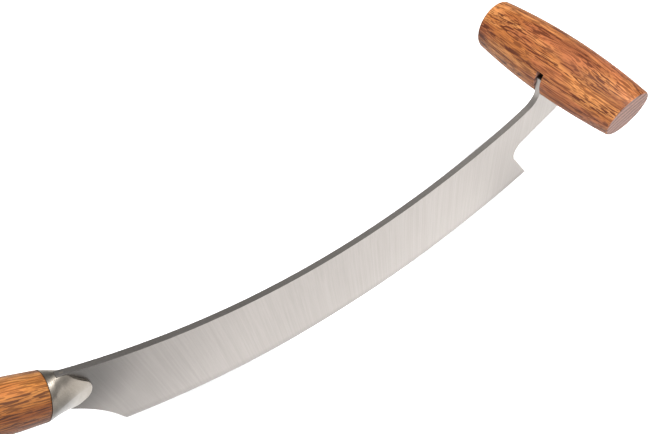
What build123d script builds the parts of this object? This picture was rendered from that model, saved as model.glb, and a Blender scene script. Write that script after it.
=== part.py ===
from build123d import *
import os
from math import cos, sin, sqrt, radians, tan, pi

os.makedirs("parts", exist_ok=True)

# Driving dimensions, mm.
# Layout frame: heel corner of the cutting edge near the origin, +X along the edge chord to the
# cross grip, +Z to the spine, +Y through the thickness. The last step moves the origin.
SPINE_X = 148.2          # spine arc: centre and radius
SPINE_Z = 402.9
SPINE_R = 366.4
SPINE_START_X = -17.0
SPINE_END_X = 262.0
EDGE_X = 154.4           # cutting edge arc: centre and radius
EDGE_Z = 388.2
EDGE_R = 417.2
HEEL_X = 0.0
TOE_X = 306.0
SPINE_T = 3.7            # thickness of the plate from the spine inwards
GRIND_DEPTH = 62.0       # height of the wedge grind above the edge
BEVEL_T = 1.7            # thickness where the edge bevel starts
BEVEL_H = 4.5
EDGE_T = 0.25
INNER_DEPTH = 130.0      # how far the full thickness reaches above the edge

NECK_CORNER = (-20.2, 41.6)       # heel side, from the bolster down to the heel corner
NECK_MIDDLE = (-11.15, 28.5)
NOTCH_CORNER = (289.9, 21.6)      # toe side, the notch below the strap
NOTCH_MIDDLE = (286.6, 30.5)
STRAP_START = (289.3, 37.1)
STRAP_SLOPE = 29.3       # degrees, lower edge of the strap
STRAP_ROUND = 3.0
TAB_RIGHT = 316.0        # tab that stands up into the cross grip
TAB_CORNER = (291.0, 84.6)
TAB_FOOT = (293.1, 73.0)
SPINE_SWEEP = (291.4, 68.4)       # the spine sweeps up into the tab through these points
SPINE_TURN = (287.8, 65.0)
SPINE_REACH = (275.3, 59.3)

CROSS_X = 306.45         # cross grip: middle, length along its axis and radii
CROSS_Y = 1.5
CROSS_Z = 84.4
CROSS_L = 100.5
CROSS_R_MID = 16.62
CROSS_R_END = 13.72
CROSS_LEAN = 5.7         # degrees, both ends are sawn so that the palm side is longer
CROSS_SPARE = 5.0        # length of the turned blank beyond the cuts
CROSS_SOFT = 0.9
KERF_W = 4.3
KERF_TOP = 89.2
KERF_REACH = 40.0        # larger than the grip, so the kerf runs right through
KERF_DEPTH = 30.0
PLUG_LOW = 72.0          # adhesive round the tab
PLUG_L = 17.0
PLUG_SHIFT = 1.0

GRIP_X = -28.2           # centre of the joint plane between bolster and straight grip
GRIP_Z = 65.2
GRIP_TILT = 30.0         # degrees below +X, direction from the grip to the blade
GRIP_L = 115.0
GRIP_R_FRONT = 13.1
GRIP_R_MID = 14.4
GRIP_MID_SHARE = 0.45
GRIP_R_END = 12.0
GRIP_SOFT = 0.8
GRIP_END_SOFT = 2.5
BORE_R = 5.6
BORE_L = 82.0

TANG_W = 9.0
TANG_T = 3.4
TANG_L = 78.0
TANG_ROOT = 8.0
SHOULDER_S = 4.0         # square shoulder of the plate inside the bolster
SHOULDER_H = 9.0

# Bolster sections along the grip axis: distance, top, bottom, height of the widest line, half
# width there, and how flat the upper flank is (2 is an ellipse, less is flatter).
BOLSTER_SECTIONS = (
    (0.0, 13.1, -13.1, 0.0, 13.1, 2.0),
    (3.0, 14.0, -13.5, 0.7, 12.0, 1.8),
    (7.0, 15.1, -14.0, 1.5, 10.3, 1.45),
    (12.0, 15.4, -14.7, 2.0, 8.0, 1.4),
    (18.0, 15.4, -15.4, 2.5, 5.4, 1.45),
    (23.0, 15.4, -15.6, 2.5, 3.7, 1.6),
    (28.0, 15.4, -15.8, 2.5, 2.5, 1.8),
)
NOSE_TOP = (6.5, 16.3)   # outline of the bolster seen from the side: distance, height
NOSE_UPPER = (21.2, 7.0)
NOSE_TIP = (25.8, -0.6)
NOSE_LOWER = (25.2, -7.4)
NOSE_BOTTOM = (17.6, -16.4)
NOSE_REACH = 18.0
NOSE_PLATE = 40.0

GRIP_DIR = Vector(cos(radians(GRIP_TILT)), 0, -sin(radians(GRIP_TILT)))
GRIP_UP = Vector(sin(radians(GRIP_TILT)), 0, cos(radians(GRIP_TILT)))
GRIP_ORIGIN = Vector(GRIP_X, 0, GRIP_Z)


def spine_point(x):
    return (x, SPINE_Z - sqrt(SPINE_R**2 - (x - SPINE_X) ** 2))


def edge_point(x):
    return (x, EDGE_Z - sqrt(EDGE_R**2 - (x - EDGE_X) ** 2))


def on_grip(s, v):
    p = GRIP_ORIGIN + GRIP_DIR * s + GRIP_UP * v
    return (p.X, p.Z)


def plate(outline, thickness):
    face = make_face(Plane.XZ * (Curve() + outline))
    return extrude(face, thickness / 2, both=True)


def strap_corner():
    rise = (TAB_RIGHT - STRAP_START[0]) * tan(radians(STRAP_SLOPE))
    return (TAB_RIGHT, STRAP_START[1] + rise)


def blade_outline():
    heel = edge_point(HEEL_X)
    toe = edge_point(TOE_X)
    spine_end = spine_point(SPINE_END_X)
    spine_start = spine_point(SPINE_START_X)
    tab_top = (TAB_RIGHT, TAB_CORNER[1])
    curves = [
        ThreePointArc(heel, (EDGE_X, EDGE_Z - EDGE_R), toe),
        Line(toe, NOTCH_CORNER),
        ThreePointArc(NOTCH_CORNER, NOTCH_MIDDLE, STRAP_START),
        Line(STRAP_START, strap_corner()),
        Line(strap_corner(), tab_top),
        Line(tab_top, TAB_CORNER),
        Line(TAB_CORNER, TAB_FOOT),
        ThreePointArc(TAB_FOOT, SPINE_SWEEP, SPINE_TURN),
        ThreePointArc(SPINE_TURN, SPINE_REACH, spine_end),
        ThreePointArc(spine_end, (SPINE_X, SPINE_Z - SPINE_R), spine_start),
        Line(spine_start, on_grip(SHOULDER_S, SHOULDER_H)),
        Line(on_grip(SHOULDER_S, SHOULDER_H), on_grip(SHOULDER_S, -SHOULDER_H)),
        Line(on_grip(SHOULDER_S, -SHOULDER_H), NECK_CORNER),
        ThreePointArc(NECK_CORNER, NECK_MIDDLE, heel),
    ]
    return curves


def ground_ring():
    """Wedge section swept round the centre of the edge arc: thick above, thin at the edge."""
    profile = Polyline(
        (EDGE_R - INNER_DEPTH, 0),
        (EDGE_R - INNER_DEPTH, SPINE_T / 2),
        (EDGE_R - GRIND_DEPTH, SPINE_T / 2),
        (EDGE_R - BEVEL_H, BEVEL_T / 2),
        (EDGE_R, EDGE_T / 2),
        (EDGE_R, -EDGE_T / 2),
        (EDGE_R - BEVEL_H, -BEVEL_T / 2),
        (EDGE_R - GRIND_DEPTH, -SPINE_T / 2),
        (EDGE_R - INNER_DEPTH, -SPINE_T / 2),
        close=True,
    )
    ring = revolve(make_face(Plane.XY * profile), Axis.Y, 360)
    return Pos(EDGE_X, 0, EDGE_Z) * ring


def stick_tang():
    half = TANG_W / 2
    outline = Polyline(
        on_grip(TANG_ROOT, half),
        on_grip(TANG_ROOT - TANG_L, half),
        on_grip(-TANG_L, half * 0.5),
        on_grip(-TANG_L, -half * 0.5),
        on_grip(TANG_ROOT - TANG_L, -half),
        on_grip(TANG_ROOT, -half),
        close=True,
    )
    return plate(outline, TANG_T)


def make_blade():
    flat = plate(blade_outline(), SPINE_T)
    ground = flat & ground_ring()
    x, z = strap_corner()
    corner = Vector(x, 0, z)
    edges = ground.edges().filter_by(Axis.Y).sort_by(lambda e: (e @ 0.5 - corner).length)
    return fillet(edges[0], STRAP_ROUND) + stick_tang()


def grip_plane(s):
    return Plane(origin=GRIP_ORIGIN + GRIP_DIR * s, x_dir=GRIP_UP, z_dir=GRIP_DIR)


def bolster_section(s, top, bottom, wide, half_width, flat):
    """Closed curve: a flat-sided arch above the widest line and half an ellipse below it."""
    count = 28
    points = []
    for i in range(count):
        a = 2 * pi * i / count
        reach, power = (top - wide, 2 / flat) if cos(a) > 0 else (wide - bottom, 1.0)
        v = wide + reach * abs(cos(a)) ** power * (1 if cos(a) > 0 else -1)
        y = half_width * abs(sin(a)) ** power * (1 if sin(a) > 0 else -1)
        points.append((v, y))
    return grip_plane(s) * make_face(Spline(*points, periodic=True))


def make_bolster(blade):
    body = loft([bolster_section(*numbers) for numbers in BOLSTER_SECTIONS])
    nose = [
        Line(on_grip(-1, NOSE_REACH), on_grip(NOSE_TOP[0], NOSE_REACH)),
        Line(on_grip(NOSE_TOP[0], NOSE_REACH), on_grip(*NOSE_TOP)),
        Line(on_grip(*NOSE_TOP), on_grip(*NOSE_UPPER)),
        ThreePointArc(on_grip(*NOSE_UPPER), on_grip(*NOSE_TIP), on_grip(*NOSE_LOWER)),
        Line(on_grip(*NOSE_LOWER), on_grip(*NOSE_BOTTOM)),
        Line(on_grip(*NOSE_BOTTOM), on_grip(NOSE_BOTTOM[0], -NOSE_REACH)),
        Line(on_grip(NOSE_BOTTOM[0], -NOSE_REACH), on_grip(-1, -NOSE_REACH)),
        Line(on_grip(-1, -NOSE_REACH), on_grip(-1, NOSE_REACH)),
    ]
    return (body & plate(nose, NOSE_PLATE)) - blade


def make_grip():
    belly = (GRIP_R_MID, -GRIP_L * GRIP_MID_SHARE)
    profile = [
        ThreePointArc((GRIP_R_FRONT, 0), belly, (GRIP_R_END, -GRIP_L)),
        Line((GRIP_R_END, -GRIP_L), (0, -GRIP_L)),
        Line((0, -GRIP_L), (0, 0)),
        Line((0, 0), (GRIP_R_FRONT, 0)),
    ]
    barrel = revolve(make_face(Plane.XZ * (Curve() + profile)), Axis.Z, 360)
    rims = barrel.edges().filter_by(GeomType.CIRCLE).sort_by(Axis.Z)
    barrel = fillet(rims[-1], GRIP_SOFT)
    rims = barrel.edges().filter_by(GeomType.CIRCLE).sort_by(Axis.Z)
    barrel = fillet(rims[0], GRIP_END_SOFT)
    bore = Pos(0, 0, -BORE_L / 2) * Cylinder(BORE_R, BORE_L)
    return grip_plane(0).location * (barrel - bore)


def make_grip_adhesive(blade):
    fill = Pos(0, 0, -BORE_L / 2) * Cylinder(BORE_R, BORE_L)
    return grip_plane(0).location * fill - blade


def cross_blank():
    """Turned barrel, longer than the finished grip, on the same arc."""
    rise = CROSS_R_MID - CROSS_R_END
    arc = ((CROSS_L / 2) ** 2 + rise**2) / (2 * rise)
    half = CROSS_L / 2 + CROSS_SPARE
    end = CROSS_R_MID - arc + sqrt(arc**2 - half**2)
    profile = [
        ThreePointArc((end, -half), (CROSS_R_MID, 0), (end, half)),
        Line((end, half), (0, half)),
        Line((0, half), (0, -half)),
        Line((0, -half), (end, -half)),
    ]
    return revolve(make_face(Plane.XY * (Curve() + profile)), Axis.Y, 360)


def make_cross_grip():
    barrel = cross_blank()
    lean = radians(CROSS_LEAN)
    for side in (-1, 1):
        saw = Plane(origin=(0, side * CROSS_L / 2, 0), z_dir=(0, side * cos(lean), -sin(lean)))
        barrel = split(barrel, bisect_by=saw, keep=Keep.BOTTOM)
    rims = [face.outer_wire().edges() for face in barrel.faces().filter_by(GeomType.PLANE)]
    barrel = fillet([edge for rim in rims for edge in rim], CROSS_SOFT)
    kerf = Pos(CROSS_X, 0, KERF_TOP - KERF_DEPTH / 2) * Box(KERF_REACH, KERF_W, KERF_DEPTH)
    return Pos(CROSS_X, CROSS_Y, CROSS_Z) * barrel - kerf


def make_cross_grip_adhesive(blade):
    height = KERF_TOP - PLUG_LOW
    fill = Box(PLUG_L, KERF_W, height)
    return Pos(CROSS_X + PLUG_SHIFT, 0, PLUG_LOW + height / 2) * fill - blade


def build():
    blade = make_blade()
    parts = {
        "blade": blade,
        "bolster": make_bolster(blade),
        "grip": make_grip(),
        "grip_adhesive": make_grip_adhesive(blade),
        "cross_grip": make_cross_grip(),
        "cross_grip_adhesive": make_cross_grip_adhesive(blade),
    }
    box = Compound(children=[part.solids()[0] for part in parts.values()]).bounding_box()
    shift = Pos(-(box.min.X + box.max.X) / 2, -(box.min.Y + box.max.Y) / 2, -box.min.Z)
    for name, part in parts.items():
        moved = shift * part.solids()[0]
        moved.label = name
        export_step(moved, "parts/" + name + ".step")
        size = moved.bounding_box().size
        print(name, len(part.solids()), round(part.volume, 1), [round(v, 2) for v in size])
    print("shift", shift.position)


build()
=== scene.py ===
from math import asin, atan2, cos, hypot, pi, radians, sin, sqrt, tan

import bmesh
import bpy
from mathutils import Matrix, Vector


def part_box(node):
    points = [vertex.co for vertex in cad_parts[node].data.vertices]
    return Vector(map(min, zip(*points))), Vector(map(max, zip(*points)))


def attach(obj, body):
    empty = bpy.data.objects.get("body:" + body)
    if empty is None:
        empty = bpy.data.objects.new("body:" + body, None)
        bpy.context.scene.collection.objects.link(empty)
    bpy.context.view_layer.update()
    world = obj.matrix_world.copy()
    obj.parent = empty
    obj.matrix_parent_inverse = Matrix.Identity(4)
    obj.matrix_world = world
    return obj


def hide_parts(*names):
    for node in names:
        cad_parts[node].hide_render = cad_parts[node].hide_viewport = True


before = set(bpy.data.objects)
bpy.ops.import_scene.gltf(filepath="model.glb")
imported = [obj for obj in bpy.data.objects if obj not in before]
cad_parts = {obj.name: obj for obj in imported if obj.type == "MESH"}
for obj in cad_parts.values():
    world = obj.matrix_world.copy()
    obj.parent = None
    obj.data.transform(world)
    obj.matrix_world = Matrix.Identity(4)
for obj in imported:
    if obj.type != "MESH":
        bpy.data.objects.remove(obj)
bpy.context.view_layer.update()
MM = 0.001


# ---------------------------------------------------------------- layout, in millimetres
# The knife is laid out with the heel corner of its edge near the origin, +X to the cross grip and
# +Z to the spine. ORIGIN carries that layout to the CAD frame.
CROSS_CENTRE = Vector((306.45, 1.5, 84.4))
CROSS_LOW, CROSS_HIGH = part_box("cross_grip")
ORIGIN = (CROSS_LOW + CROSS_HIGH) / 2 - CROSS_CENTRE * MM
CROSS_LENGTH, CROSS_LEAN = 100.5, radians(5.7)
CROSS_MIDDLE_R, CROSS_END_R, CROSS_SOFT = 16.62, 13.72, 0.9
KERF_WIDTH, KERF_TOP, KERF_DEPTH, KERF_REACH = 4.3, 89.2, 30.0, 44.0

SPINE_X, SPINE_Z, SPINE_R = 148.2, 402.9, 366.4
EDGE_X, EDGE_Z, EDGE_R = 154.4, 388.2, 417.2
HEEL_X, TOE_X = 0.0, 306.0
SPINE_START_X, SPINE_END_X = -17.0, 262.0
SPINE_HALF, SHOULDER_HALF, EDGE_HALF = 1.85, 0.85, 0.1
GRIND_START, GRIND_END = EDGE_R - 62.0, EDGE_R - 4.5
BLADE_STEPS, BLADE_RIM = 80, 0.22

NECK_CORNER, NECK_MIDDLE = (-20.2, 41.6), (-11.15, 28.5)
NOTCH_CORNER, NOTCH_MIDDLE = (289.9, 21.6), (286.6, 30.5)
STRAP_START, STRAP_SLOPE, STRAP_ROUND = (289.3, 37.1), radians(29.3), 2.6
TAB_RIGHT, TAB_CORNER, TAB_FOOT = 316.0, (291.0, 84.6), (293.1, 73.0)
SPINE_SWEEP, SPINE_TURN, SPINE_REACH = (291.4, 68.4), (287.8, 65.0), (275.3, 59.3)

GRIP_AT = Vector((-28.2, 0.0, 65.2))
GRIP_TILT = radians(30.0)
GRIP_DIR = Vector((cos(GRIP_TILT), 0.0, -sin(GRIP_TILT)))
GRIP_UP = Vector((sin(GRIP_TILT), 0.0, cos(GRIP_TILT)))
GRIP_LENGTH, GRIP_FRONT_R, GRIP_MIDDLE_R, GRIP_END_R = 115.0, 13.1, 14.4, 12.0
GRIP_MIDDLE_SHARE, GRIP_SOFT, GRIP_END_SOFT = 0.45, 0.8, 2.5


def to_row(x, y, z):
    return ORIGIN + Vector((x, y, z)) * MM


def on_grip(s, v):
    p = GRIP_AT + GRIP_DIR * s + GRIP_UP * v
    return (p.x, p.z)


def spine_point(x):
    return (x, SPINE_Z - sqrt(SPINE_R**2 - (x - SPINE_X) ** 2))


def edge_point(x, radius=EDGE_R):
    return (x, EDGE_Z - sqrt(radius**2 - (x - EDGE_X) ** 2))


def arc_through(a, b, c, count):
    """Points on the circle through three points, from a to c, without c."""
    (ax, az), (bx, bz), (cx, cz) = a, b, c
    d = 2 * (ax * (bz - cz) + bx * (cz - az) + cx * (az - bz))
    sa, sb, sc = ax**2 + az**2, bx**2 + bz**2, cx**2 + cz**2
    ox = (sa * (bz - cz) + sb * (cz - az) + sc * (az - bz)) / d
    oz = (sa * (cx - bx) + sb * (ax - cx) + sc * (bx - ax)) / d
    radius = hypot(ax - ox, az - oz)
    start = atan2(az - oz, ax - ox)
    through = (atan2(bz - oz, bx - ox) - start) % (2 * pi)
    sweep = (atan2(cz - oz, cx - ox) - start) % (2 * pi)
    if through > sweep:
        sweep -= 2 * pi
    angles = [start + sweep * i / count for i in range(count)]
    return [(ox + radius * cos(t), oz + radius * sin(t)) for t in angles]


# ---------------------------------------------------------------- mesh helpers
def mesh_object(name, bm, place=Matrix.Identity(4)):
    mesh = bpy.data.meshes.new(name)
    bmesh.ops.recalc_face_normals(bm, faces=bm.faces)
    bm.to_mesh(mesh)
    bm.free()
    piece = bpy.data.objects.new(name, mesh)
    bpy.context.scene.collection.objects.link(piece)
    piece.matrix_world = place
    return piece


def smooth(piece, degrees):
    for polygon in piece.data.polygons:
        polygon.use_smooth = True
    piece.data.set_sharp_from_angle(angle=radians(degrees))
    modifier = piece.modifiers.new("weighted", "WEIGHTED_NORMAL")
    modifier.keep_sharp = True


def bake_modifiers(piece):
    graph = bpy.context.evaluated_depsgraph_get()
    mesh = bpy.data.meshes.new_from_object(piece.evaluated_get(graph))
    piece.modifiers.clear()
    piece.data = mesh


# ---------------------------------------------------------------- blade
def half_thickness(x, z):
    r = hypot(x - EDGE_X, z - EDGE_Z)
    share = (r - GRIND_START) / (GRIND_END - GRIND_START)
    return SPINE_HALF + (SHOULDER_HALF - SPINE_HALF) * min(max(share, 0.0), 1.0)


def crossing(points, radius):
    """Where a run of points first crosses a circle round the centre of the edge arc."""
    for (ax, az), (bx, bz) in zip(points, points[1:]):
        ra = hypot(ax - EDGE_X, az - EDGE_Z) - radius
        rb = hypot(bx - EDGE_X, bz - EDGE_Z) - radius
        if ra * rb <= 0:
            t = ra / (ra - rb)
            return (ax + (bx - ax) * t, az + (bz - az) * t)


def blade_runs():
    """The outline in three runs: up the toe side, along the spine, and down the heel side."""
    toe, heel = edge_point(TOE_X), edge_point(HEEL_X)
    corner_z = STRAP_START[1] + (TAB_RIGHT - STRAP_START[0]) * tan(STRAP_SLOPE)
    back = (TAB_RIGHT - STRAP_ROUND * cos(STRAP_SLOPE), corner_z - STRAP_ROUND * sin(STRAP_SLOPE))
    top = (TAB_RIGHT, corner_z + STRAP_ROUND)
    toe_side = [toe, NOTCH_CORNER]
    toe_side += arc_through(NOTCH_CORNER, NOTCH_MIDDLE, STRAP_START, 14)[1:]
    toe_side += [STRAP_START]
    toe_side += arc_through(back, (TAB_RIGHT - 0.45, corner_z + 0.55), top, 8)
    toe_side += [top, (TAB_RIGHT, TAB_CORNER[1])]
    spine_end, spine_start = spine_point(SPINE_END_X), spine_point(SPINE_START_X)
    spine = [TAB_CORNER]
    spine += arc_through(TAB_FOOT, SPINE_SWEEP, SPINE_TURN, 12)
    spine += arc_through(SPINE_TURN, SPINE_REACH, spine_end, 10)
    spine += arc_through(spine_end, (SPINE_X, SPINE_Z - SPINE_R), spine_start, 72)
    spine += [spine_start, on_grip(4, 9)]
    heel_side = [on_grip(4, -9)]
    heel_side += arc_through(NECK_CORNER, NECK_MIDDLE, heel, 24)
    heel_side += [heel]
    return toe_side, spine, heel_side


def above_grind(points):
    """The points of a run that lie clear above the line where the edge bevel starts."""
    return [(x, z) for x, z in points if hypot(x - EDGE_X, z - EDGE_Z) < GRIND_END - 0.3]


def make_blade():
    toe_side, spine, heel_side = blade_runs()
    toe_grind = crossing(toe_side, GRIND_END)
    heel_grind = crossing(heel_side, GRIND_END)
    toe_edge, heel_edge = toe_side[0], heel_side[-1]
    count = BLADE_STEPS

    def sweep(a, b, radius):
        start = asin((a[0] - EDGE_X) / radius)
        end = asin((b[0] - EDGE_X) / radius)
        angles = [start + (end - start) * i / count for i in range(count + 1)]
        return [(EDGE_X + radius * sin(t), EDGE_Z - radius * cos(t)) for t in angles]

    grind = sweep(heel_grind, toe_grind, GRIND_END)
    edge = sweep(heel_edge, toe_edge, EDGE_R)
    outline = grind + above_grind(toe_side) + spine + above_grind(heel_side)
    bm = bmesh.new()
    sides = []
    edges = []
    for sign in (-1, 1):
        sides.append([bm.verts.new(to_row(x, sign * half_thickness(x, z), z)) for x, z in outline])
        edges.append([bm.verts.new(to_row(x, sign * EDGE_HALF, z)) for x, z in edge])
        bm.faces.new(sides[-1])
        for i in range(count):
            bm.faces.new([sides[-1][i], sides[-1][i + 1], edges[-1][i + 1], edges[-1][i]])
    near, far = sides
    total = len(outline)
    walls = []
    for i in range(count, total):
        j = (i + 1) % total
        walls.append(bm.faces.new([near[i], near[j], far[j], far[i]]))
    for i in range(count):
        bm.faces.new([edges[0][i], edges[0][i + 1], edges[1][i + 1], edges[1][i]])
    for i in (0, count):
        bm.faces.new([near[i], far[i], edges[1][i], edges[0][i]])
    rims = {e for f in walls for e in f.edges if abs(e.verts[0].co.y - e.verts[1].co.y) < MM}
    bmesh.ops.bevel(
        bm, geom=list(rims), offset=BLADE_RIM * MM, segments=2, profile=0.5, affect="EDGES", loop_slide=True,
    )
    bmesh.ops.holes_fill(bm, edges=[e for e in bm.edges if e.is_boundary], sides=0)
    blade = mesh_object("blade_steel", bm)
    smooth(blade, 30)
    return blade


# ---------------------------------------------------------------- bolster
# Sections along the grip axis: distance, top, bottom, height of the widest line, half width there,
# and how flat the upper flank is (2 is an ellipse, less is flatter).
BOLSTER_SECTIONS = (
    (0.0, 13.1, -13.1, 0.0, 13.1, 2.0),
    (3.0, 14.0, -13.5, 0.7, 12.0, 1.8),
    (7.0, 15.1, -14.0, 1.5, 10.3, 1.45),
    (12.0, 15.4, -14.7, 2.0, 8.0, 1.4),
    (18.0, 15.4, -15.4, 2.5, 5.4, 1.45),
    (23.0, 15.4, -15.6, 2.5, 3.7, 1.6),
    (28.0, 15.4, -15.8, 2.5, 2.5, 1.8),
)
NOSE_TOP, NOSE_UPPER, NOSE_TIP = (6.5, 16.3), (21.2, 7.0), (25.8, -0.6)
NOSE_LOWER, NOSE_BOTTOM = (25.2, -7.4), (17.6, -16.4)


def bolster_numbers(s):
    """The section numbers at distance s, eased between the listed stations."""
    for a, b in zip(BOLSTER_SECTIONS, BOLSTER_SECTIONS[1:]):
        if s <= b[0]:
            t = (s - a[0]) / (b[0] - a[0])
            return [p + (q - p) * t for p, q in zip(a[1:], b[1:])]


def bolster_point(s, angle):
    top, bottom, wide, half_width, flat = bolster_numbers(s)
    reach, power = (top - wide, 2 / flat) if cos(angle) > 0 else (wide - bottom, 1.0)
    v = wide + reach * abs(cos(angle)) ** power * (1 if cos(angle) > 0 else -1)
    y = half_width * abs(sin(angle)) ** power * (1 if sin(angle) > 0 else -1)
    return v, y


def nose_reach(v):
    """How far the side outline of the nose reaches at height v."""
    if v >= NOSE_UPPER[1]:
        slope = (NOSE_UPPER[0] - NOSE_TOP[0]) / (NOSE_TOP[1] - NOSE_UPPER[1])
        return NOSE_TOP[0] + (NOSE_TOP[1] - v) * slope
    if v <= NOSE_LOWER[1]:
        slope = (NOSE_LOWER[0] - NOSE_BOTTOM[0]) / (NOSE_LOWER[1] - NOSE_BOTTOM[1])
        return NOSE_LOWER[0] - (NOSE_LOWER[1] - v) * slope
    run = arc_through(NOSE_UPPER, NOSE_TIP, NOSE_LOWER, 40) + [NOSE_LOWER]
    for a, b in zip(run, run[1:]):
        if b[1] <= v <= a[1]:
            return a[0] + (b[0] - a[0]) * (a[1] - v) / (a[1] - b[1])


def column_end(angle):
    low, high = 0.0, 27.9
    for _ in range(40):
        middle = (low + high) / 2
        if middle < nose_reach(bolster_point(middle, angle)[0]):
            low = middle
        else:
            high = middle
    return low


def make_bolster():
    bm = bmesh.new()
    rows, columns = 36, 144
    grid = []
    for j in range(columns):
        angle = 2 * pi * j / columns
        end = column_end(angle)
        column = []
        for i in range(rows + 1):
            s = (end - 0.5) * i / rows
            v, y = bolster_point(s, angle)
            column.append((s, v, y))
        v, y = bolster_point(end, angle)
        side = 1 if y > 0 else -1
        inner = min(abs(y), 1.4) * side
        for s_back, drop in ((0.25, 0.06), (0.08, 0.2), (0.0, 0.45)):
            column.append((end - s_back, v, max(abs(y) - drop, min(abs(y), 1.4)) * side))
        column.append((end, v, inner))
        verts = []
        for s, v, y in column:
            x, z = on_grip(s, v)
            verts.append(bm.verts.new(to_row(x, y, z)))
        grid.append(verts)
    depth = len(grid[0])
    for j in range(columns):
        k = (j + 1) % columns
        for i in range(depth - 1):
            bm.faces.new([grid[j][i], grid[k][i], grid[k][i + 1], grid[j][i + 1]])
    bm.faces.new([column[0] for column in grid])
    for j in range(columns // 2):
        a, b = grid[j][-1], grid[j + 1][-1]
        c, d = grid[-(j + 1) % columns][-1], grid[-j % columns][-1]
        corners = list(dict.fromkeys([a, b, c, d]))
        if len(corners) > 2:
            bm.faces.new(corners)
    bmesh.ops.remove_doubles(bm, verts=bm.verts, dist=0.002 * MM)
    bolster = mesh_object("bolster_steel", bm)
    smooth(bolster, 40)
    return bolster


# ---------------------------------------------------------------- turned grips
def barrel_profile(length, ends, middle, at, soft_start, soft_end):
    """(radius, z) points of a turned barrel from z 0 to length, with rounded rims."""
    r0, r1 = ends
    arc = arc_through((r0, 0.0), (middle, at), (r1, length), 60) + [(r1, length)]
    inner = [(r, z) for r, z in arc if soft_start < z < length - soft_end]
    turns = [i / 6 * pi / 2 for i in range(7)]
    start = [(r0 - soft_start * (1 - sin(t)), soft_start * (1 - cos(t))) for t in turns]
    finish = [(r1 - soft_end * (1 - cos(t)), length - soft_end * (1 - sin(t))) for t in turns]
    return start + inner + finish


def turned(name, profile, place, columns=128):
    bm = bmesh.new()
    rings = []
    for r, z in profile:
        angles = [2 * pi * j / columns for j in range(columns)]
        points = [Vector((r * cos(t), r * sin(t), z)) * MM for t in angles]
        rings.append([bm.verts.new(place @ point) for point in points])
    for a, b in zip(rings, rings[1:]):
        for j in range(columns):
            k = (j + 1) % columns
            bm.faces.new([a[j], a[k], b[k], b[j]])
    bm.faces.new(rings[0])
    bm.faces.new(rings[-1])
    return mesh_object(name, bm)


def axes(x, y, z, at):
    place = Matrix.Identity(4)
    for column, vector in enumerate((x, y, z)):
        for row in range(3):
            place[row][column] = vector[row]
    place.translation = at
    return place


def make_grip():
    back = -GRIP_DIR
    place = axes(GRIP_UP, back.cross(GRIP_UP), back, to_row(*GRIP_AT))
    profile = barrel_profile(
        GRIP_LENGTH, (GRIP_FRONT_R, GRIP_END_R), GRIP_MIDDLE_R, GRIP_LENGTH * GRIP_MIDDLE_SHARE,
        GRIP_SOFT, GRIP_END_SOFT,
    )
    grip = turned("grip_oak", profile, place)
    smooth(grip, 35)
    return grip


def make_cross_grip():
    """A barrel whose ends are sawn so that the palm side is longer, with a kerf for the tab."""
    half, slope = CROSS_LENGTH / 2, tan(CROSS_LEAN)
    rise = CROSS_MIDDLE_R - CROSS_END_R
    arc = (half**2 + rise**2) / (2 * rise)
    columns, rows = 160, 60
    bm = bmesh.new()
    grid = []
    for j in range(columns):
        angle = 2 * pi * j / columns
        reach = half
        for _ in range(8):
            radius = CROSS_MIDDLE_R - arc + sqrt(arc**2 - reach**2)
            reach = half + slope * radius * sin(angle)
        rim = []
        for i in range(1, 7):
            turn = i / 6 * pi / 2
            r = radius - CROSS_SOFT * (1 - cos(turn))
            rim.append((r, half + slope * r * sin(angle) - CROSS_SOFT * (1 - sin(turn))))
        run = []
        for i in range(rows + 1):
            y = (reach - CROSS_SOFT) * (2 * i / rows - 1)
            run.append((CROSS_MIDDLE_R - arc + sqrt(arc**2 - y**2), y))
        column = [(r, -y) for r, y in reversed(rim)] + run + rim
        verts = []
        for r, y in column:
            offset = Vector((r * cos(angle), y, r * sin(angle)))
            verts.append(bm.verts.new(to_row(*(CROSS_CENTRE + offset))))
        grid.append(verts)
    for j in range(columns):
        a, b = grid[j], grid[(j + 1) % columns]
        for i in range(len(a) - 1):
            bm.faces.new([a[i], a[i + 1], b[i + 1], b[i]])
    bm.faces.new([column[0] for column in grid])
    bm.faces.new([column[-1] for column in grid])
    grip = mesh_object("cross_grip_oak", bm)
    bm = bmesh.new()
    bmesh.ops.create_cube(bm, size=1.0)
    bmesh.ops.scale(bm, vec=Vector((KERF_REACH, KERF_WIDTH, KERF_DEPTH)) * MM, verts=bm.verts)
    centre = to_row(CROSS_CENTRE.x, 0, KERF_TOP - KERF_DEPTH / 2)
    bmesh.ops.translate(bm, vec=centre, verts=bm.verts)
    cutter = mesh_object("kerf_cutter", bm)
    cut = grip.modifiers.new("kerf", "BOOLEAN")
    cut.operation, cut.object, cut.solver = "DIFFERENCE", cutter, "EXACT"
    bpy.context.view_layer.update()
    bake_modifiers(grip)
    bpy.data.objects.remove(cutter)
    smooth(grip, 35)
    return grip


# ---------------------------------------------------------------- materials
END_GRAIN_DARK, END_GRAIN_LIGHT = (0.145, 0.070, 0.050), (0.230, 0.118, 0.088)
END_GRAIN_LINE = (0.030, 0.015, 0.012)


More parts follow.
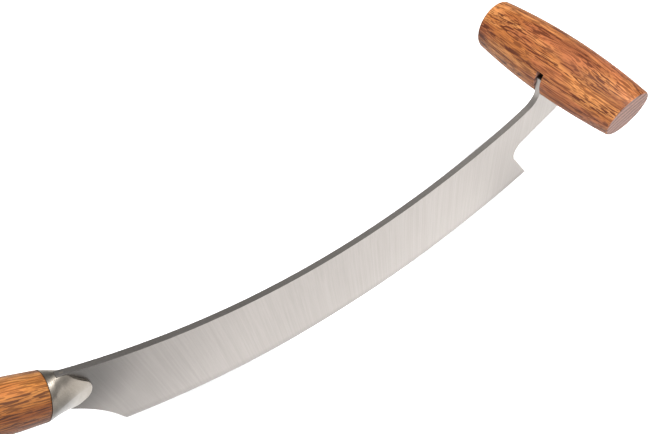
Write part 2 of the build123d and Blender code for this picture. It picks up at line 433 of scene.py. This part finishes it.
class Shader:
    """A small wrapper that keeps node building readable."""

    def __init__(self, name):
        self.material = bpy.data.materials.new(name)
        self.material.use_nodes = True
        self.tree = self.material.node_tree
        self.bsdf = self.tree.nodes["Principled BSDF"]

    def node(self, kind, **values):
        made = self.tree.nodes.new("ShaderNode" + kind)
        for key, value in values.items():
            setattr(made, key, value)
        return made

    def link(self, source, target):
        self.tree.links.new(source, target)

    def feed(self, target, value):
        if isinstance(value, bpy.types.NodeSocket):
            self.link(value, target)
        else:
            target.default_value = value

    def position(self):
        return self.node("TexCoord").outputs["Object"]

    def mapped(self, vector, scale=(1, 1, 1), turn=(0, 0, 0), shift=(0, 0, 0)):
        made = self.node("Mapping")
        self.link(vector, made.inputs["Vector"])
        made.inputs["Scale"].default_value = scale
        made.inputs["Rotation"].default_value = turn
        made.inputs["Location"].default_value = shift
        return made.outputs["Vector"]

    def noise(self, vector, detail=2.0, rough=0.5):
        made = self.node("TexNoise")
        self.link(vector, made.inputs["Vector"])
        made.inputs["Scale"].default_value = 1.0
        made.inputs["Detail"].default_value = detail
        made.inputs["Roughness"].default_value = rough
        return made.outputs["Fac"]

    def math(self, operation, a, b=0.0):
        made = self.node("Math", operation=operation)
        self.feed(made.inputs[0], a)
        self.feed(made.inputs[1], b)
        return made.outputs[0]

    def ramp(self, value, low, high, out_low=0.0, out_high=1.0):
        made = self.node("MapRange", interpolation_type="SMOOTHSTEP")
        self.link(value, made.inputs["Value"])
        keys = ("From Min", "From Max", "To Min", "To Max")
        for key, number in zip(keys, (low, high, out_low, out_high)):
            made.inputs[key].default_value = number
        return made.outputs["Result"]

    def mix(self, share, a, b, blend="MIX"):
        made = self.node("Mix", data_type="RGBA", blend_type=blend)
        self.feed(made.inputs[0], share)
        for socket, value in ((made.inputs[6], a), (made.inputs[7], b)):
            self.feed(socket, (*value, 1.0) if isinstance(value, tuple) else value)
        return made.outputs[2]

    def dot(self, vector, direction):
        made = self.node("VectorMath", operation="DOT_PRODUCT")
        self.link(vector, made.inputs[0])
        made.inputs[1].default_value = direction
        return made.outputs["Value"]

    def distance(self, vector, point):
        made = self.node("VectorMath", operation="DISTANCE")
        self.link(vector, made.inputs[0])
        made.inputs[1].default_value = point
        return made.outputs["Value"]

    def grey(self, value):
        made = self.node("CombineColor")
        for socket in made.inputs:
            self.link(value, socket)
        return made.outputs[0]

    def bump(self, height, strength, distance):
        made = self.node("Bump")
        self.link(height, made.inputs["Height"])
        made.inputs["Strength"].default_value = strength
        made.inputs["Distance"].default_value = distance
        return made.outputs["Normal"]

    def finish(self, **sockets):
        for key, value in sockets.items():
            self.feed(self.bsdf.inputs[key.replace("_", " ")], value)
        return self.material


def oak(name, grain, face, at, tones, shade=0.0):
    """Open-grained oak. The grain runs along one vector and the growth rings face another.

    tones holds the light, middle and reddish colours and the colour of the pores. shade is how strongly
    a painted shade darkens the lower, near side of the wood, standing in for the shade that falls there.
    """
    light, middle, red, pore = tones
    ring_width = 0.0043
    sh = Shader(name)
    third = grain.cross(face)
    offset = sh.node("VectorMath", operation="SUBTRACT")
    sh.link(sh.position(), offset.inputs[0])
    offset.inputs[1].default_value = at
    axes_node = sh.node("CombineXYZ")
    for socket, direction in zip(axes_node.inputs, (face, third, grain)):
        sh.link(sh.dot(offset.outputs[0], direction), socket)
    place = axes_node.outputs[0]

    wander = sh.noise(sh.mapped(place, scale=(60, 60, 9)), detail=2.0)
    rings = sh.math("MULTIPLY", sh.dot(place, (1, 0, 0)), 1 / ring_width)
    phase = sh.math("FRACT", sh.math("ADD", rings, sh.math("MULTIPLY", wander, 1.4)))
    early = sh.math("SUBTRACT", sh.ramp(phase, 0.0, 0.14), sh.ramp(phase, 0.34, 0.62))
    fibres = sh.noise(sh.mapped(place, scale=(2600, 2600, 70)), detail=3.0, rough=0.6)
    drift = sh.noise(sh.mapped(place, scale=(90, 90, 25)), detail=1.0)
    shifted = sh.node("VectorMath", operation="ADD")
    sh.link(place, shifted.inputs[0])
    sh.link(sh.grey(sh.math("MULTIPLY", drift, 0.004)), shifted.inputs[1])
    wavy = shifted.outputs[0]
    long_pores = sh.ramp(sh.noise(sh.mapped(wavy, scale=(1350, 1350, 80)), detail=0.5), 0.53, 0.58)
    short_pores = sh.ramp(sh.noise(sh.mapped(wavy, scale=(2100, 2100, 150)), detail=0.5), 0.54, 0.60)
    pores = sh.math("MAXIMUM", long_pores, sh.math("MULTIPLY", short_pores, 0.75))
    pores = sh.math("MULTIPLY", pores, sh.ramp(early, 0.0, 1.0, 0.7, 1.0))
    patches = sh.noise(sh.mapped(place, scale=(75, 75, 22)), detail=2.0)
    streaks = sh.noise(sh.mapped(place, scale=(260, 260, 14)), detail=2.0)
    bands = sh.noise(sh.mapped(place, scale=(110, 110, 10), shift=(0.7, 0.1, 0.4)), detail=2.0)

    colour = sh.mix(sh.ramp(streaks, 0.38, 0.62), light, middle)
    colour = sh.mix(sh.math("MULTIPLY", sh.ramp(patches, 0.46, 0.62), 0.7), colour, red)
    colour = sh.mix(sh.math("MULTIPLY", sh.ramp(bands, 0.50, 0.66), 0.45), colour, pore)
    colour = sh.mix(sh.math("MULTIPLY", early, 0.2), colour, pore)
    colour = sh.mix(sh.math("MULTIPLY", sh.ramp(fibres, 0.40, 0.72), 0.3), colour, pore)
    side = sh.mix(sh.math("MULTIPLY", pores, 0.95), colour, pore)

    normal = sh.node("TexCoord").outputs["Normal"]
    end = sh.ramp(sh.math("ABSOLUTE", sh.dot(normal, grain)), 0.72, 0.93)
    specks = sh.noise(sh.mapped(place, scale=(1500, 1500, 1500)), detail=2.0)
    end_rings = sh.math("SUBTRACT", sh.ramp(phase, 0.0, 0.12), sh.ramp(phase, 0.40, 0.60))
    end_lines = sh.math("MULTIPLY", end_rings, sh.ramp(specks, 0.34, 0.50))
    cut = sh.mix(sh.ramp(specks, 0.3, 0.7), END_GRAIN_DARK, END_GRAIN_LIGHT)
    cut = sh.mix(sh.math("MULTIPLY", end_lines, 0.9), cut, END_GRAIN_LINE)
    colour = sh.mix(end, side, cut)
    if shade:
        # Painted shade: the lower, near side is darkened towards a brown shade colour, standing in for shade
        # there.
        low = sh.ramp(sh.dot(place, (-0.5, 0.87, 0)), -0.005, 0.0062)
        dark = sh.mix(1.0, colour, (0.30, 0.20, 0.09), "MULTIPLY")
        colour = sh.mix(sh.math("MULTIPLY", low, shade), colour, dark)

    height = sh.math("SUBTRACT", sh.math("MULTIPLY", fibres, 0.35), pores)
    rough = sh.ramp(fibres, 0.2, 0.8, 0.46, 0.62)
    sh.bsdf.inputs["Specular IOR Level"].default_value = 0.22
    return sh.finish(Base_Color=colour, Roughness=rough, Normal=sh.bump(height, 0.5, 0.00014))


def steel(
    name, dark, light, line_scale, rough_low, rough_high, painted_shade_centre, lean=0.0, rim=1.0, reach=1.0, darker_edge_band=None,
):
    """Satin steel with grinding lines along Z, leaning by an angle about Y.

    The given centre point is where a painted shade is darkest: the flanks grow darker towards it, over up to
    0.32 m where reach is 1, standing in for a dark reflection, and far from it they are painted slightly
    brighter.
    rim is the tone of the faces that aren't flanks, a painted shade on the spine and other edge faces
    standing in for their dark reflection.
    The last argument gives the centre and radius of a cutting edge; the colour grows darker towards that edge
    over a band about 8 mm wide.
    """
    sh = Shader(name)
    place = sh.mapped(sh.position(), turn=(0, lean, 0))
    fine = sh.noise(sh.mapped(place, scale=line_scale), detail=3.0, rough=0.65)
    coarse = sh.noise(sh.mapped(place, scale=tuple(v * 0.16 for v in line_scale)), detail=2.0)
    cloud = sh.noise(sh.mapped(place, scale=(22, 22, 22)), detail=2.0)
    tone = sh.math("ADD", sh.math("MULTIPLY", fine, 0.6), sh.math("MULTIPLY", coarse, 0.4))
    colour = sh.mix(sh.ramp(tone, 0.3, 0.7), dark, light)
    flank = sh.math("ABSOLUTE", sh.dot(sh.node("TexCoord").outputs["Normal"], (0, 1, 0)))
    # Painted shade: faces that aren't flanks, such as the spine, are darkened to the rim tone.
    colour = sh.mix(1.0, colour, sh.grey(sh.ramp(flank, 0.2, 0.8, rim, 1.0)), "MULTIPLY")
    # Painted shade on the flanks, darkest at the centre point, standing in for a dark reflection; far off, a
    # slight painted brightening.
    gap = sh.distance(sh.position(), painted_shade_centre)
    near = sh.ramp(gap, 0.014 * reach, 0.052 * reach, 0.42, 1.0)
    far = sh.ramp(gap, 0.020 * reach, 0.125 * reach, 0.63, 1.0)
    wide = sh.ramp(gap, 0.15 * reach, 0.32 * reach, 0.87, 1.04)
    shade = sh.math("MULTIPLY", sh.math("MULTIPLY", near, far), wide)
    shaded = sh.mix(1.0, colour, sh.grey(shade), "MULTIPLY")
    colour = sh.mix(sh.ramp(flank, 0.2, 0.8), colour, shaded)
    if darker_edge_band:
        centre, radius = darker_edge_band
        out = sh.distance(sh.mapped(sh.position(), scale=(1, 0, 1)), (centre[0], 0.0, centre[2]))
        band = sh.ramp(out, radius - 0.0085, radius - 0.0005, 1.0, 0.76)
        colour = sh.mix(1.0, colour, sh.grey(band), "MULTIPLY")
    rough = sh.math("ADD", sh.ramp(fine, 0.25, 0.75, rough_low, rough_high), sh.math("MULTIPLY", cloud, 0.06))
    sh.bsdf.inputs["Metallic"].default_value = 1.0
    return sh.finish(Base_Color=colour, Roughness=rough, Normal=sh.bump(fine, 0.12, 0.00004))


def cured_adhesive():
    sh = Shader("cured_adhesive")
    cloud = sh.noise(sh.mapped(sh.position(), scale=(400, 400, 400)), detail=3.0)
    colour = sh.mix(sh.ramp(cloud, 0.3, 0.7), (0.08, 0.045, 0.02), (0.16, 0.10, 0.05))
    return sh.finish(Base_Color=colour, Roughness=sh.ramp(cloud, 0.2, 0.8, 0.3, 0.5))


def paint(piece, material):
    piece.data.materials.clear()
    piece.data.materials.append(material)


def dress():
    blade, bolster, grip, cross_grip = make_blade(), make_bolster(), make_grip(), make_cross_grip()
    ring_face = Vector((-0.463, 0.0, 0.886))
    cross_oak = oak(
        "cross_grip_oak", Vector((0, -1, 0)), ring_face, to_row(*CROSS_CENTRE),
        ((0.41, 0.165, 0.050), (0.27, 0.088, 0.021), (0.28, 0.085, 0.033), (0.055, 0.011, 0.002)),
    )
    # The straight grip carries painted shade on its lower, near side.
    grip_oak = oak(
        "grip_oak", GRIP_DIR, GRIP_UP, to_row(*GRIP_AT),
        ((0.42, 0.185, 0.048), (0.32, 0.118, 0.025), (0.30, 0.098, 0.026), (0.065, 0.018, 0.002)),
        shade=0.95,
    )
    # The blade's flanks carry painted shade towards the upper heel by the bolster.
    blade_steel = steel(
        "ground_steel", (0.241, 0.222, 0.207), (0.294, 0.273, 0.256), (6000, 6000, 45), 0.30, 0.40,
        painted_shade_centre=to_row(-20, 0, 65), lean=radians(7), rim=0.95,
        darker_edge_band=(to_row(EDGE_X, 0, EDGE_Z), EDGE_R * MM),
    )
    # The bolster's flanks carry painted shade towards the wood, on the near side.
    bolster_steel = steel(
        "bolster_steel", (0.256, 0.228, 0.194), (0.328, 0.294, 0.252), (2600, 2600, 300), 0.24, 0.34,
        painted_shade_centre=to_row(-26, -12, 61), reach=0.30,
    )
    looks = [
        (blade, "blade", "blade_steel", blade_steel),
        (bolster, "bolster", "bolster_steel", bolster_steel),
        (grip, "grip", "grip_oak", grip_oak),
        (cross_grip, "cross_grip", "cross_grip_oak", cross_oak),
    ]
    for piece, node, slot, material in looks:
        paint(piece, material)
        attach(piece, "root")
        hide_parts(node)
    adhesive = cured_adhesive()
    for node in ("grip_adhesive", "cross_grip_adhesive"):
        paint(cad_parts[node], adhesive)


# ---------------------------------------------------------------- studio
FLOOR_HALF, FLOOR_DROP, FLOOR_TONE = 4.0, 0.0002, 0.93
SKY_BRIGHT, SKY_DARK, SKY_DARK_TOWARDS = 0.8, 0.23, (0.25, 0.45, 0.86)


def make_floor():
    bm = bmesh.new()
    bmesh.ops.create_grid(bm, x_segments=1, y_segments=1, size=FLOOR_HALF)
    floor = mesh_object("floor", bm, Matrix.Translation((0, 0, -FLOOR_DROP)))
    sh = Shader("pale_floor")
    paint(floor, sh.finish(Base_Color=(FLOOR_TONE, FLOOR_TONE, FLOOR_TONE, 1.0), Roughness=0.8))


def area_light(name, at, aim, size, power):
    light = bpy.data.lights.new(name, "AREA")
    light.shape, light.size, light.energy = "DISK", size, power
    lamp = bpy.data.objects.new(name, light)
    lamp.location = at
    lamp.rotation_euler = (Vector(aim) - Vector(at)).to_track_quat("-Z", "Y").to_euler()
    bpy.context.scene.collection.objects.link(lamp)


def make_studio():
    """White surroundings that are darker overhead, so that the spine reflects a dark sky."""
    world = bpy.data.worlds.new("studio")
    bpy.context.scene.world = world
    world.use_nodes = True
    tree = world.node_tree
    sky = tree.nodes["Background"]
    sky.inputs["Color"].default_value = (1.0, 1.0, 1.0, 1.0)
    overhead = tree.nodes.new("ShaderNodeVectorMath")
    overhead.operation = "DOT_PRODUCT"
    overhead.inputs[1].default_value = SKY_DARK_TOWARDS
    tree.links.new(tree.nodes.new("ShaderNodeTexCoord").outputs["Generated"], overhead.inputs[0])
    fall = tree.nodes.new("ShaderNodeMapRange")
    fall.interpolation_type = "SMOOTHSTEP"
    for key, value in (("From Min", 0.40), ("From Max", 0.85), ("To Min", SKY_BRIGHT), ("To Max", SKY_DARK)):
        fall.inputs[key].default_value = value
    tree.links.new(overhead.outputs["Value"], fall.inputs["Value"])
    tree.links.new(fall.outputs["Result"], sky.inputs["Strength"])
    area_light("softbox", (0.06, -0.26, 0.90), (0.06, 0.0, 0.0), 0.55, 18)
    area_light("front", (-0.30, -1.0, 0.75), (0.05, 0.0, 0.05), 0.5, 7)
    bpy.context.scene.view_settings.view_transform = "Standard"


def make_camera():
    """Close above the near side of the blade, turned towards the cross grip."""
    data = bpy.data.cameras.new("camera")
    data.sensor_width, data.lens = 36.0, 38.19
    data.shift_x, data.shift_y = 0.0948, 0.1361
    data.clip_start = 0.01
    camera = bpy.data.objects.new("camera", data)
    right = Vector((0.83085, -0.54924, -0.08963)).normalized()
    ahead = Vector((0.22998, 0.48554, -0.84342))
    up = right.cross(ahead).normalized()
    camera.matrix_world = axes(right, up, up.cross(right) * -1, to_row(6.60, -191.91, 360.92))
    bpy.context.scene.collection.objects.link(camera)
    bpy.context.scene.camera = camera


dress()
make_floor()
make_studio()
make_camera()
